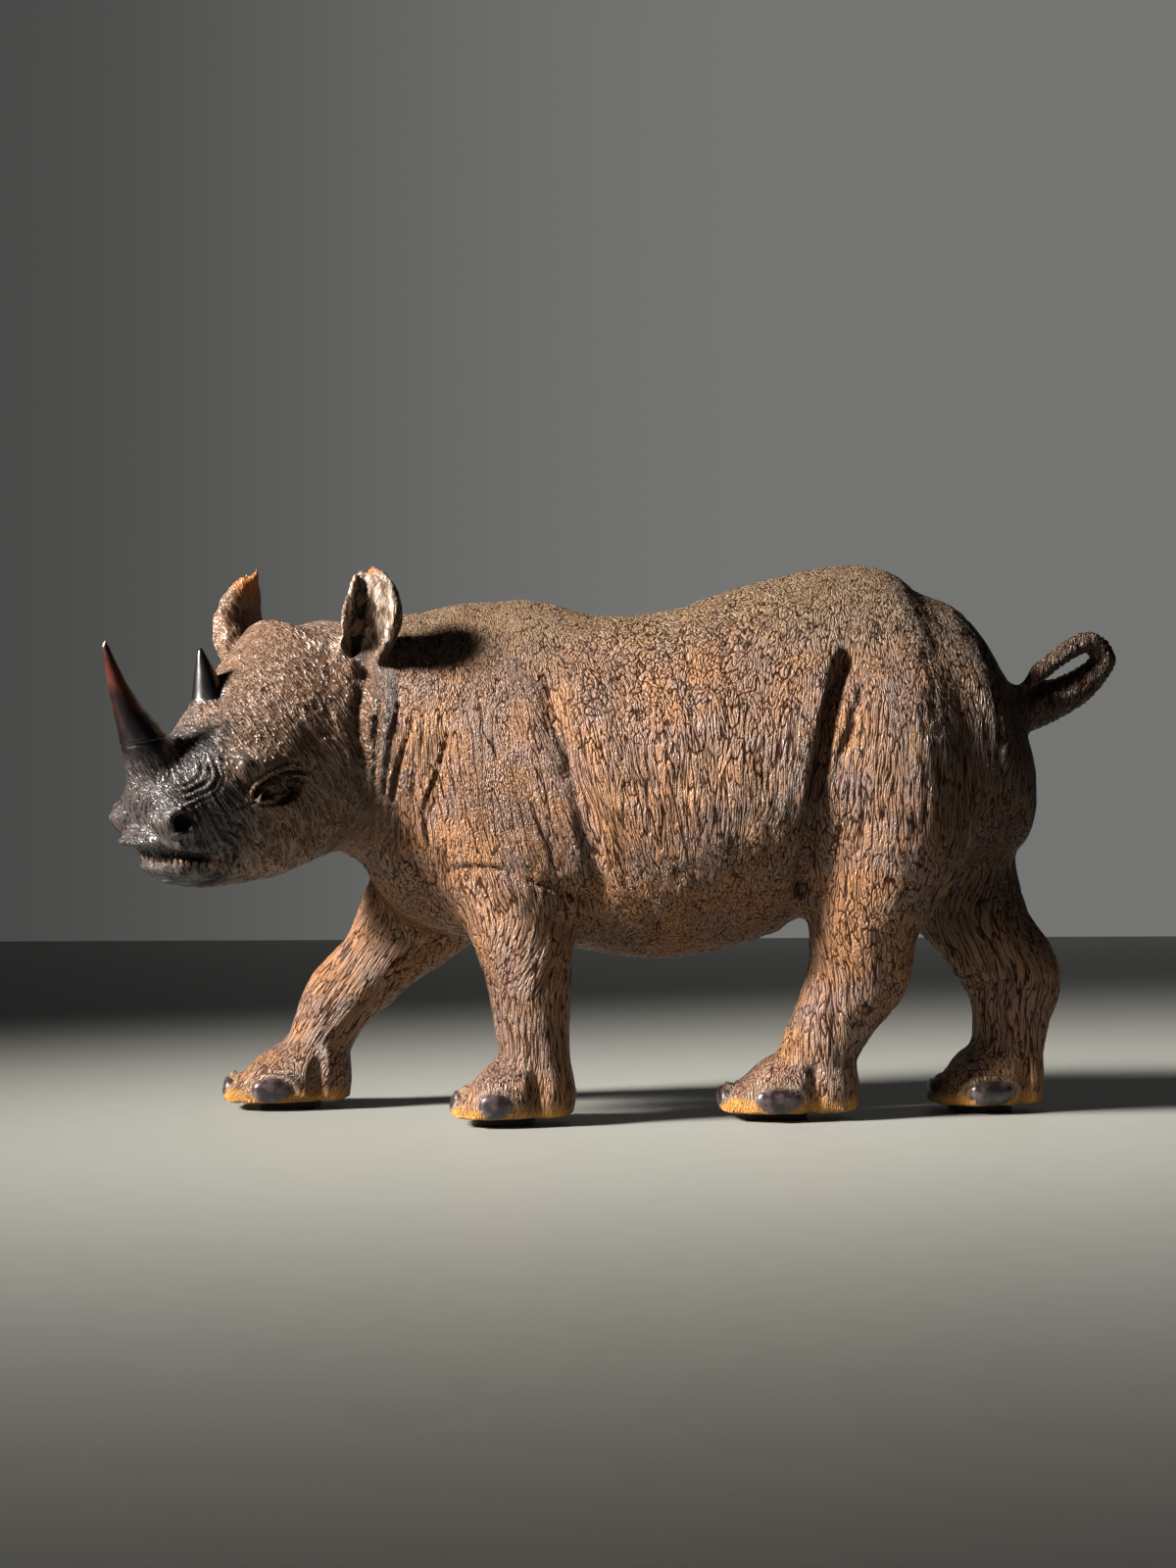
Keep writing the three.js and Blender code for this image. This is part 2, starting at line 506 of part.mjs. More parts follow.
// A closed surface thinned by collapsing the edges whose loss changes its shape least.
function thinned({ positions, triangles }, target) {
  const count = positions.length / 3;
  const at = Array.from({ length: count }, (_, i) => new THREE.Vector3().fromArray(positions, i * 3));
  const faces = [];
  const around = Array.from({ length: count }, () => new Set());
  for (let i = 0; i < triangles.length; i += 3) {
    const face = [triangles[i], triangles[i + 1], triangles[i + 2]];
    face.forEach((v) => around[v].add(faces.length));
    faces.push(face);
  }
  const normal = new THREE.Vector3();
  const one = new THREE.Vector3();
  const two = new THREE.Vector3();
  const facing = (a, b, c, out) => out.crossVectors(one.subVectors(b, a), two.subVectors(c, a));
  const sums = Array.from({ length: count }, () => new Float64Array(10));
  for (const face of faces) {
    const [a, b, c] = face.map((v) => at[v]);
    facing(a, b, c, normal);
    const area = normal.length() / 2;
    if (area < 1e-12) continue;
    normal.normalize();
    const { x, y, z } = normal;
    const w = -normal.dot(a);
    const terms = [x * x, x * y, x * z, x * w, y * y, y * z, y * w, z * z, z * w, w * w];
    const weight = area * (a.x < HEAD.x + 45 && a.z > 100 ? HEAD_CARE : 1);
    face.forEach((v) => terms.forEach((term, k) => (sums[v][k] += term * weight)));
  }
  const lost = (q, p) =>
    q[0] * p.x * p.x + 2 * q[1] * p.x * p.y + 2 * q[2] * p.x * p.z + 2 * q[3] * p.x +
    q[4] * p.y * p.y + 2 * q[5] * p.y * p.z + 2 * q[6] * p.y +
    q[7] * p.z * p.z + 2 * q[8] * p.z + q[9];
  const stamps = new Int32Array(count);
  const heap = new EdgeHeap();
  const matrix = new THREE.Matrix3();
  const offer = (u, v) => {
    const q = sums[u].map((term, k) => term + sums[v][k]);
    const middle = at[u].clone().add(at[v]).multiplyScalar(0.5);
    const length = at[u].distanceTo(at[v]);
    const choices = [middle, at[u].clone(), at[v].clone()];
    const soft = 1e-3 * (q[0] + q[4] + q[7]);
    matrix.set(q[0] + soft, q[1], q[2], q[1], q[4] + soft, q[5], q[2], q[5], q[7] + soft);
    if (Math.abs(matrix.determinant()) > 1e-14) {
      const best = new THREE.Vector3(soft * middle.x - q[3], soft * middle.y - q[6], soft * middle.z - q[8]);
      best.applyMatrix3(matrix.invert());
      if (best.distanceTo(middle) < length * 1.5) choices.unshift(best);
    }
    let place = null;
    let cost = Infinity;
    for (const choice of choices) {
      const price = lost(q, choice);
      if (price < cost - 1e-12) {
        cost = price;
        place = choice;
      }
    }
    cost = Math.max(cost, 0) + EVEN_OUT * length * length;
    heap.push({ cost, u, v, place, su: stamps[u], sv: stamps[v] });
  };
  const neighbours = (v) => new Set([...around[v]].flatMap((f) => faces[f]).filter((n) => n !== v));
  for (let v = 0; v < count; v++) for (const n of neighbours(v)) if (n > v) offer(v, n);

  const keepsItsSide = (f, moved, place) => {
    const before = faces[f].map((v) => at[v]);
    const after = faces[f].map((v) => (v === moved ? place : at[v]));
    facing(...before, normal);
    const old = normal.clone();
    facing(...after, normal);
    const size = normal.length();
    return size > 1e-3 && old.dot(normal) > KEEP_TURN * size * old.length();
  };
  let left = faces.length;
  while (left > target && heap.items.length) {
    const { u, v, place, su, sv } = heap.pop();
    if (stamps[u] !== su || stamps[v] !== sv) continue;
    const shared = [...around[u]].filter((f) => around[v].has(f));
    const nextToU = neighbours(u);
    const common = [...neighbours(v)].filter((n) => nextToU.has(n));
    if (shared.length !== 2 || common.length !== 2) continue;
    const movesWell = (moved, other) =>
      [...around[moved]].every((f) => around[other].has(f) || keepsItsSide(f, moved, place));
    if (!movesWell(u, v) || !movesWell(v, u)) continue;
    for (const f of shared) {
      faces[f].forEach((n) => around[n].delete(f));
      faces[f] = null;
      left--;
    }
    for (const f of around[v]) {
      faces[f][faces[f].indexOf(v)] = u;
      around[u].add(f);
    }
    around[v].clear();
    at[u] = place;
    sums[v].forEach((term, k) => (sums[u][k] += term));
    stamps[u]++;
    stamps[v] = -1;
    for (const n of neighbours(u)) offer(u, n);
  }
  const renamed = new Map();
  const outPositions = [];
  const outTriangles = [];
  for (const face of faces) {
    if (!face) continue;
    for (const v of face) {
      if (!renamed.has(v)) {
        renamed.set(v, renamed.size);
        outPositions.push(...at[v].toArray());
      }
      outTriangles.push(renamed.get(v));
    }
  }
  return { positions: outPositions, triangles: outTriangles };
}

const GAP = 0.3; // between the soles and their pads
const SOLE = PAD.thick + GAP;
const PADS = {
  pad_fore_near: { x: -42, y: -37 },
  pad_fore_far: { x: -160, y: 33 },
  pad_hind_near: { x: 95, y: -18 },
  pad_hind_far: { x: 204, y: 8 },
};

function material(color, roughness, metalness = 0) {
  return new THREE.MeshStandardMaterial({ color, roughness, metalness });
}

function padGeometry({ x, y }) {
  const shape = new THREE.Shape();
  const [w, h, r] = [PAD.length / 2, PAD.width / 2, PAD.corner];
  shape.moveTo(-w + r, -h);
  shape.lineTo(w - r, -h);
  shape.absarc(w - r, -h + r, r, -Math.PI / 2, 0);
  shape.absarc(w - r, h - r, r, 0, Math.PI / 2);
  shape.absarc(-w + r, h - r, r, Math.PI / 2, Math.PI);
  shape.absarc(-w + r, -h + r, r, Math.PI, Math.PI * 1.5);
  const options = { depth: PAD.thick, bevelEnabled: false, curveSegments: 6 };
  return new THREE.ExtrudeGeometry(shape, options).translate(x, y, 0);
}

const wasm = await Module();
wasm.setup();

function solidOf({ positions, triangles }) {
  const vertProperties = new Float32Array(positions);
  const triVerts = new Uint32Array(triangles);
  return new wasm.Manifold(new wasm.Mesh({ numProp: 3, vertProperties, triVerts }));
}

function boxSolid(sizeX, sizeY, sizeZ, x, y, z) {
  const geometry = new THREE.BoxGeometry(sizeX, sizeY, sizeZ).translate(x, y, z);
  geometry.deleteAttribute("uv");
  geometry.deleteAttribute("normal");
  const merged = mergeVertices(geometry);
  return solidOf({ positions: merged.attributes.position.array, triangles: merged.index.array });
}

function geometryOf(solid) {
  const mesh = solid.getMesh();
  const geometry = new THREE.BufferGeometry();
  geometry.setAttribute("position", new THREE.BufferAttribute(new Float32Array(mesh.vertProperties), 3));
  geometry.setIndex(Array.from(mesh.triVerts));
  return geometry;
}

const REGION = new THREE.Box3(new THREE.Vector3(-275, -112, -14), new THREE.Vector3(290, 84, 300));
const skin = thinned(skinOf(REGION), TRIANGLES);
const FLOOR = { length: 800, width: 400, thick: 60 }; // cuts the soles flat, wider than the animal
const below = boxSolid(FLOOR.length, FLOOR.width, FLOOR.thick, 0, 0, SOLE - FLOOR.thick / 2);
const animal = solidOf(skin).subtract(below);

const rhinoceros = new THREE.Group();
rhinoceros.name = "carved_rhinoceros";
const body = new THREE.Mesh(geometryOf(animal), material(0x7a4f33, 0.55));
body.name = "carved_body";
rhinoceros.add(body);
for (const [name, place] of Object.entries(PADS)) {
  const pad = new THREE.Mesh(padGeometry(place), material(0x1b1a19, 0.95));
  pad.name = name;
  rhinoceros.add(pad);
}

// The origin goes under the middle of the whole.
const bounds = new THREE.Box3().setFromObject(rhinoceros);
const centre = bounds.getCenter(new THREE.Vector3());
rhinoceros.children.forEach((mesh) => mesh.geometry.translate(-centre.x, -centre.y, -bounds.min.z));

export default rhinoceros;
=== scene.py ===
"""A carved wooden rhinoceros in mid-stride, its head turned aside, standing on four felt pads."""

import math

import bmesh
import bpy
import numpy as np
from mathutils import Matrix, Vector


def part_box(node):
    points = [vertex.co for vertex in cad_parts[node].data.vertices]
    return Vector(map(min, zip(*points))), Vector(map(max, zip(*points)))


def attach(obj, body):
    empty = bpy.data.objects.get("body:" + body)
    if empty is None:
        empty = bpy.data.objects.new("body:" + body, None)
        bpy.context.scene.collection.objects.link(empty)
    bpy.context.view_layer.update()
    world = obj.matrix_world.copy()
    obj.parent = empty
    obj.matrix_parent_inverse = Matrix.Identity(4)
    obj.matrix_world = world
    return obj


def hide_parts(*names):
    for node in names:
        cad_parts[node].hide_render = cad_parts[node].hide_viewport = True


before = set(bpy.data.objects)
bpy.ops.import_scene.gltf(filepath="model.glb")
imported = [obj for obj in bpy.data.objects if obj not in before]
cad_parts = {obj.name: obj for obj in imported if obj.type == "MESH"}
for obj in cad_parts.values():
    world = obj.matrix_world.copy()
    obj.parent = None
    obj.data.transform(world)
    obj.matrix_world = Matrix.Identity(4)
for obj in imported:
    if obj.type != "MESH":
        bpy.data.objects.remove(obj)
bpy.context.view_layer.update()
MM = 0.001

# The carver's zero: all places below are in millimetres from it, measured off the near fore pad.
PAD_PLACE = (-42.0, -37.0)
pad_low, pad_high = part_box("pad_fore_near")
ZERO = np.array([
    (pad_low.x + pad_high.x) / 2 / MM - PAD_PLACE[0],
    (pad_low.y + pad_high.y) / 2 / MM - PAD_PLACE[1],
    0.0,
])

# The head: a point between the ears, its turn to the near side and its tilt.
HEAD = np.array([-147.0, -10.0])
TURN = math.radians(43)
TILT = math.radians(4)
AHEAD = np.array([-math.cos(TURN), -math.sin(TURN)])
NEAR_SIDE = np.array([math.sin(TURN), -math.cos(TURN)])


# Numbers.
def step(value, low, high):
    share = np.clip((value - low) / (high - low), 0, 1)
    return share * share * (3 - 2 * share)


def bell(value, width):
    return np.exp(-((value / width) ** 2))


# Large odd numbers that scramble the corners of the noise cells.
CORNER_KEYS = np.array([73856093, 19349663, 83492791])
SEED_KEY = 7919
SCRAMBLE_KEY = 1274126177


def noise(places, seed=0):
    """Smooth random values from -1 to 1 that change over about one unit."""
    cell = np.floor(places).astype(np.int64)
    share = places - cell
    share = share * share * (3 - 2 * share)
    total = np.zeros(len(places))
    for corner in range(8):
        shift = np.array([corner & 1, corner >> 1 & 1, corner >> 2 & 1])
        key = (cell + shift) @ CORNER_KEYS + seed * SEED_KEY
        key = (key ^ (key >> 13)) * SCRAMBLE_KEY & 0x7FFFFFFF
        value = ((key ^ (key >> 15)) & 0xFFFF) / 32767.5 - 1
        total += np.prod(np.where(shift, share, 1 - share), axis=1) * value
    return total


def line_spans(corners):
    """The lengths of a line's spans, and how far along it each of its corners lies."""
    spans = np.linalg.norm(np.diff(corners, axis=0), axis=1)
    return spans, np.concatenate([[0], np.cumsum(spans)])


def line_distance(a, b, line, aside=0.0):
    """How far points a, b lie from a line of corners, and how far along it, from 0 to 1.

    The distance of the points out of the line's plane is aside.
    """
    corners = np.array(line, float)
    spans, starts = line_spans(corners)
    nearest = np.full(len(a), np.inf)
    along = np.zeros(len(a))
    for i, span in enumerate(spans):
        e = (corners[i + 1] - corners[i]) / span
        t = np.clip((a - corners[i][0]) * e[0] + (b - corners[i][1]) * e[1], 0, span)
        gap = np.hypot(a - corners[i][0] - t * e[0], b - corners[i][1] - t * e[1])
        gap = np.hypot(gap, aside)
        closer = gap < nearest
        nearest = np.where(closer, gap, nearest)
        along = np.where(closer, (starts[i] + t) / starts[-1], along)
    return nearest, along


# Places on the animal.
class Places:
    """Points in the carver's millimetres and in the head's own directions."""

    def __init__(self, points):
        self.x, self.y, self.z = points.T
        off = points[:, :2] - HEAD
        self.forward = off @ AHEAD
        self.side = off @ NEAR_SIDE
        self.height = self.z + self.side * math.sin(TILT)
        self.points = points


def off_head(forward, side, height):
    """Points in the carver's millimetres, from the head's own directions."""
    return np.stack([
        HEAD[0] + AHEAD[0] * forward + NEAR_SIDE[0] * side,
        HEAD[1] + AHEAD[1] * forward + NEAR_SIDE[1] * side,
        height - side * math.sin(TILT),
    ], 1)


# Meshes: shares of the way to the neighbours' mean in one round, pulled in, pushed back and settled.
PULL = 0.5
PUSH = -0.53
SETTLE = 0.6


def neighbour_count(points, edges):
    return np.maximum(np.bincount(edges.ravel(), minlength=len(points))[:, None], 1)


def neighbour_mean(points, edges, count):
    total = np.zeros_like(points)
    for axis in range(3):
        total[:, axis] = np.bincount(edges[:, 0], points[edges[:, 1], axis], len(points))
        total[:, axis] += np.bincount(edges[:, 1], points[edges[:, 0], axis], len(points))
    return total / count


def smooth(points, edges, rounds, weight=1.0):
    """Evens out small bumps and keeps the size: each round pulls points in and pushes them back a little."""
    count = neighbour_count(points, edges)
    for _ in range(rounds):
        for amount in (PULL, PUSH):
            points = points + amount * weight * (neighbour_mean(points, edges, count) - points)
    return points


def settle(points, edges, rounds, weight):
    """Evens out broad dips and swellings where weight says so."""
    count = neighbour_count(points, edges)
    for _ in range(rounds):
        points = points + SETTLE * weight * (neighbour_mean(points, edges, count) - points)
    return points


def read_vectors(items, field):
    flat = np.empty(len(items) * 3)
    items.foreach_get(field, flat)
    return flat.reshape(-1, 3)


def mesh_points(mesh):
    return read_vectors(mesh.vertices, "co") / MM - ZERO


def mesh_normals(mesh):
    return read_vectors(mesh.vertex_normals, "vector")


def mesh_edges(mesh):
    flat = np.empty(len(mesh.edges) * 2, np.int64)
    mesh.edges.foreach_get("vertices", flat)
    return flat.reshape(-1, 2)


def set_points(mesh, points):
    mesh.vertices.foreach_set("co", ((points + ZERO) * MM).ravel())
    mesh.update()


def add_piece(name, data):
    piece = bpy.data.objects.new(name, data)
    bpy.context.scene.collection.objects.link(piece)
    return piece


def baked(piece):
    """The piece's mesh with its modifiers applied; the piece itself is removed."""
    bpy.context.view_layer.update()
    graph = bpy.context.evaluated_depsgraph_get()
    mesh = bpy.data.meshes.new_from_object(piece.evaluated_get(graph))
    bpy.data.objects.remove(piece)
    mesh.name = "carved_rhinoceros"
    return mesh


# Regions, in millimetres: the head lies before NECK_X and above JAW_Z. Its ears lie above EAR_HEIGHT
# and EAR_SIDE off its middle. The eye and the nostril are given by forward and height.
NECK_X = -95
JAW_Z = 112
EAR_HEIGHT = 236
EAR_SIDE = 34
TAIL_X = 228
EYE = (43.5, 169.4)
NOSTRIL = (88.5, 152.0)
MOUTH_HEIGHT = 133.6
MOUTH_RISE = 0.05
MOUTH_MIDDLE = 85
FEET = [
    # y, toe x, middle and half length of the side nails
    (-36.0, -60.0, -46.0, 8.0),
    (34.0, -187.0, -167.0, 10.0),
    (-19.0, 74.0, 94.0, 11.5),
    (9.0, 186.0, 206.0, 12.0),
]

# Each horn's centre line: forward, height and radius from its base to its tip.
FRONT_HORN = np.array([
    (88.0, 180.0, 13.8), (94.6, 192.0, 10.8), (100.6, 201.8, 7.5), (107.4, 216.0, 4.6),
    (112.0, 228.0, 2.7), (115.3, 238.0, 1.0),
])
REAR_HORN = np.array([(55.5, 209.0, 10.2), (57.3, 217.5, 7.7), (59.2, 226.0, 5.1), (62.0, 236.8, 1.2)])


def on_head(p):
    return (p.forward > -22) & (p.x < NECK_X) & (p.z > JAW_Z)


def on_tail(p):
    return (p.x > TAIL_X) & (p.z > 195)


def on_near_face(p):
    return on_head(p) & (p.side > -16) & (p.forward > 8) & (p.height < 232)


def on_face_detail(p):
    """The eyes, the nostrils and the mouth."""
    eye = np.hypot(p.forward - EYE[0], p.height - EYE[1]) < 20
    nostril = np.hypot(p.forward - NOSTRIL[0], p.height - NOSTRIL[1]) < 12
    mouth = (np.abs(p.height - MOUTH_HEIGHT) < 8) & (p.forward > 58)
    return on_head(p) & (np.abs(p.side) > 8) & (eye | nostril) | mouth & on_head(p)


def above_mouth(p):
    """Height above the mouth's line, which rises a little towards the nose."""
    return p.height - MOUTH_HEIGHT - MOUTH_RISE * (p.forward - MOUTH_MIDDLE)


def horn_marks(rows):
    """How far along a horn each of its rows lies, from 0 at the base to 1 at the tip."""
    starts = line_spans(rows[:, :2])[1]
    return starts / starts[-1]


def horn_share(p, rows):
    """1 on a horn, fading to 0 on the skin round its base."""
    gap, along = line_distance(p.forward, p.height, rows[:, :2], p.side)
    radius = np.interp(along, horn_marks(rows), rows[:, 2])
    return on_head(p) * step(along, 0.03, 0.16) * (1 - step(gap, radius * 1.3 + 0.6, radius * 1.5 + 1.6))


def true_horns(points):
    """Horns brought to their round sections; the upper half is stretched to the full length."""
    half = 0.5
    for rows in (FRONT_HORN, REAR_HORN):
        p = Places(points)
        share = horn_share(p, rows)
        gap, along = line_distance(p.forward, p.height, rows[:, :2], p.side)
        marks = horn_marks(rows)
        reached = along[share > 0.5].max()
        wanted = np.where(along > half, half + (along - half) * half / max(reached - half, 0.1), along)
        line = [np.interp(along, marks, rows[:, k]) for k in (0, 1)]
        moved = [np.interp(wanted, marks, rows[:, k]) for k in (0, 1)]
        size = np.interp(wanted, marks, rows[:, 2]) / np.maximum(gap, 0.05)
        forward = moved[0] + (p.forward - line[0]) * size
        height = moved[1] + (p.height - line[1]) * size
        place = off_head(forward, p.side * size, height)
        points = points + (place - points) * share[:, None]
    return points


# The skin's mesh: lengths in millimetres, levels of rounding, rounds of smoothing and triangles.
MERGED = 0.02
ROUNDING = 2
VOXEL = 1.85
FORM_ROUNDS = 36
THIN_WEIGHT = 0.3
DETAIL_ROUNDS = 4
SETTLE_ROUNDS = 110
TRIANGLES = 197500


def meet_corners(piece, rounds=3, share=0.8):
    """Moves the corners of a piece under a rounding modifier until the rounded skin meets the old corners."""
    mesh = piece.data
    wanted = mesh_points(mesh)
    for _ in range(rounds):
        bpy.context.view_layer.update()
        graph = bpy.context.evaluated_depsgraph_get()
        rounded = piece.evaluated_get(graph).to_mesh()
        got = mesh_points(rounded)[: len(wanted)]
        piece.evaluated_get(graph).to_mesh_clear()
        set_points(mesh, mesh_points(mesh) + (wanted - got) * share)


def even_form(node):
    """The solid's form, rounded and cut into small even faces."""
    piece = add_piece("skin_source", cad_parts[node].data.copy())
    bm = bmesh.new()
    bm.from_mesh(piece.data)
    bmesh.ops.remove_doubles(bm, verts=bm.verts, dist=MERGED * MM)
    bm.to_mesh(piece.data)
    bm.free()
    rounded = piece.modifiers.new("rounded", "SUBSURF")
    rounded.levels = rounded.render_levels = ROUNDING
    meet_corners(piece)
    even = piece.modifiers.new("even", "REMESH")
    even.mode = "VOXEL"
    even.voxel_size = VOXEL * MM
    return baked(piece)


def refine(mesh, wanted):
    """Halves the mesh where wanted says so."""
    chosen = wanted(Places(read_vectors(mesh.polygons, "center") / MM - ZERO))
    bm = bmesh.new()
    bm.from_mesh(mesh)
    bm.faces.ensure_lookup_table()
    edges = {edge for i in np.nonzero(chosen)[0] for edge in bm.faces[i].edges}
    bmesh.ops.subdivide_edges(bm, edges=list(edges), cuts=1, use_grid_fill=True)
    bmesh.ops.triangulate(bm, faces=[f for f in bm.faces if len(f.verts) > 4])
    bm.to_mesh(mesh)
    bm.free()
    mesh.update()


def settle_share(p):
    """Where the form is evened out: the rump, the withers and, less, the neck."""
    rump = step(p.x, 150, 185) * step(p.z, 135, 165) * (1 - step(p.x, 222, 232))
    neck = bell(np.hypot((p.x + 85) / 28, (p.z - 165) / 42), 0.9) * (p.forward < 4)
    withers = bell(np.hypot((p.x + 8) / 34, (p.z - 252) / 26), 0.9)
    return np.maximum(rump, np.maximum(0.6 * neck, withers))


def skin_mesh(node):
    """The solid's form as an even, rounded and locally finer mesh."""
    mesh = even_form(node)
    points = mesh_points(mesh)
    p = Places(points)
    thin = on_head(p) & (p.height > EAR_HEIGHT) | on_tail(p) | (p.z < 26)
    weight = np.where(thin, THIN_WEIGHT, 1.0)
    points = smooth(points, mesh_edges(mesh), FORM_ROUNDS, weight[:, None])
    set_points(mesh, true_horns(points))
    refine(mesh, on_near_face)
    refine(mesh, on_face_detail)
    points = smooth(mesh_points(mesh), mesh_edges(mesh), DETAIL_ROUNDS)
    share = settle_share(Places(points))
    points = settle(points, mesh_edges(mesh), SETTLE_ROUNDS, share[:, None])
    set_points(mesh, true_horns(points))
    return mesh


def thinned(mesh, target):
    """The mesh with its least needed edges collapsed, down to about target triangles."""
    mesh.calc_loop_triangles()
    count = len(mesh.loop_triangles)
    if count <= target:
        return mesh
    piece = add_piece("thinning", mesh)
    fewer = piece.modifiers.new("fewer", "DECIMATE")
    fewer.ratio = target / count
    return baked(piece)


# Carved relief, in millimetres above the plain form.
FOLDS = [
    # line in x, z; half width; depth; height of the lips beside it
    ([(125, 226), (119, 210), (112, 180), (106, 148), (103, 122)], 1.7, 2.4, 1.2),
    ([(136, 226), (134, 210), (125, 184), (119, 158)], 2.0, 1.6, 0.9),
    ([(-111, 226), (-113, 188), (-117, 164), (-117, 140)], 1.5, 0.6, 0.5),
    ([(-83, 214), (-89, 192), (-94, 176), (-98, 161), (-100, 147), (-101, 120)], 1.2, 1.3, 0.9),
    ([(-66, 206), (-71, 185), (-78, 165), (-81, 155), (-79, 139), (-77, 125), (-68, 104)], 1.2, 1.3, 0.9),
    ([(-72, 184), (-71, 164), (-73, 136), (-70, 118)], 0.9, 0.8, 0.5),
    ([(-101, 220), (-104, 196), (-106, 170), (-108, 140)], 1.2, 0.9, 0.7),
    ([(-92, 218), (-97, 192), (-101, 166), (-104, 136)], 1.0, 0.8, 0.6),
    ([(-78, 212), (-82, 190), (-87, 168), (-90, 140), (-88, 118)], 1.0, 0.8, 0.6),
    ([(-22, 216), (-12, 188), (-5, 154), (5, 112)], 2.2, 0.8, 0.6),
    ([(-73, 120), (-66, 127), (-54, 128), (-43, 127), (-32, 122), (-20, 118), (4, 110)], 1.2, 1.3, 1.0),
]

# The cells of the carved wrinkles, in millimetres across and along the grain.
DEEP_CELL = [6.5, 6.5, 42]
FINE_CELL = [3.6, 3.6, 20]
BROAD_CELL = [11, 11, 36]

# The lean of the face's wrinkles and of the eye, each as a cosine and a sine.
FACE_LEAN = (0.84, 0.54)
EYE_LEAN = (0.861, 0.509)


def face_places(p, sideways):
    """Coordinates whose third direction runs up the face, along its wrinkles."""
    across = p.forward * FACE_LEAN[0] - p.height * FACE_LEAN[1]
    up = p.forward * FACE_LEAN[1] + p.height * FACE_LEAN[0]
    return np.stack([across, p.side * sideways, up], 1)


def grain_places(p):
    """Coordinates whose third direction runs along the wrinkles, up the trunk, the legs and the face."""
    far_fore = step(p.y, 5, 16) * step(-p.x, 10, 100) * (1 - step(p.z, 105, 130)) * (p.z < 130)
    far_hind = step(p.x, 150, 175) * (1 - step(p.z, 95, 125)) * step(p.z, 55, 80)
    flank = step(p.x, -90, 20) * (1 - step(p.x, 60, 170)) * step(p.z, 60, 110)
    across = p.x - far_fore * 0.7 * (p.z - 60) + far_hind * 0.4 * (p.z - 80)
    across = across + flank * (0.28 - 0.0045 * p.x) * (p.z - 165)
    trunk = np.stack([across, p.y, p.z], 1)
    share = (step(p.forward, -18, 6) * step(p.z, JAW_Z, 125) * (p.x < NECK_X))[:, None]
    return trunk * (1 - share) + face_places(p, 0.4) * share


def creases(places, seed, width=0.16):
    """Narrow valleys, -1 deep, that wander between cells of about one unit."""
    return -bell(noise(places, seed), width)


def fold_relief(p):
    relief = np.zeros(len(p.x))
    aside = step(np.abs(p.y), 18, 42) * step(p.z, 95, 110)
    sway = 1.8 * noise(p.points / 16, 21)
    for line, width, depth, lip in FOLDS:
        gap, along = line_distance(p.x + sway, p.z, line)
        ends = step(along, 0, 0.2) * (1 - step(along, 0.8, 1.0))
        ends = ends * (0.8 + 0.35 * noise(p.points / 13, 22))
        relief -= aside * ends * depth * bell(gap, width)
        relief += aside * ends * lip * bell(gap - width * 2, width)
    return relief


def wrinkle_relief(p, grain):
    """Upright wrinkles on the trunk, the legs and the neck; the finest net is in the surface finish."""
    bent = grain + 2.5 * np.stack([noise(p.points / 14, 3), noise(p.points / 14, 4), 0 * p.x], 1)
    deep = creases(bent / DEEP_CELL, 1, 0.13)
    fine = creases(bent / FINE_CELL, 5, 0.2)
    broad = noise(bent / BROAD_CELL, 2)
    ribs = (p.z > 150) * bell(p.z - 195, 45) * bell(p.x - 35, 55)
    return 0.5 * deep + 0.30 * fine + (0.3 + 0.6 * ribs) * broad


def eye_relief(p):
    """An almond eye between a heavy brow and a lower lid; a runs back along the eye, b up across it."""
    df = p.forward - EYE[0]
    dh = p.height - EYE[1]
    a = -EYE_LEAN[0] * df + EYE_LEAN[1] * dh
    b = EYE_LEAN[1] * df + EYE_LEAN[0] * dh
    here = (np.abs(p.side) > 10) & (np.hypot(a, b) < 32)
    near = bell(np.hypot(a / 1.5, b), 15)

    # The socket, the ball, and the rings round its iris and pupil.
    relief = -2.4 * bell(np.hypot(a / 14, b / 6.5), 1)
    ball = np.sqrt(np.clip(1 - (a / 6.2) ** 2 - (b / 5.0) ** 2, 0, 1))
    relief += 3.2 * ball
    r = np.hypot(a, b)
    relief += np.where(r < 5, -0.7 * bell(r - 2.7, 0.55) - 0.9 * bell(r, 1.0), 0)

    # The upper lid, the fold above it and the lower lid, each with a groove beside it.
    upper = 4.0 * (1 - (a / 13) ** 2)
    lower = -3.6 * (1 - (a / 12) ** 2)
    inside = np.abs(a) < 14
    relief += inside * 2.2 * bell(b - upper - 0.4, 1.2) - inside * 1.2 * bell(b - upper - 2.9, 0.9)
    relief += inside * 1.6 * bell(b - upper - 5.2, 1.5) - inside * 0.9 * bell(b - upper - 7.6, 1.0)
    relief += inside * 1.7 * bell(b - lower, 1.1) - inside * 1.1 * bell(b - lower + 2.5, 1.0)

    # The lines that run on from its two corners.
    front = (a < -7) & (a > -24)
    relief -= front * 1.6 * bell(b + 0.10 * (a + 7), 0.9)
    back = (a > 8) & (a < 22)
    relief -= back * 1.0 * bell(b - 0.1 * (a - 8), 1.0)
    return here * near * relief * 1.6


def nostril_relief(p):
    a = p.forward - NOSTRIL[0]
    b = p.height - NOSTRIL[1]
    r = np.hypot(a, b)
    here = (np.abs(p.side) > 12) & (r < 22)
    lumps = 1 + 0.3 * np.cos(5 * np.arctan2(b, a) + 0.6)
    return here * (2.4 * lumps * bell(r - 5.6, 1.6) - 5.0 * bell(r, 2.7))


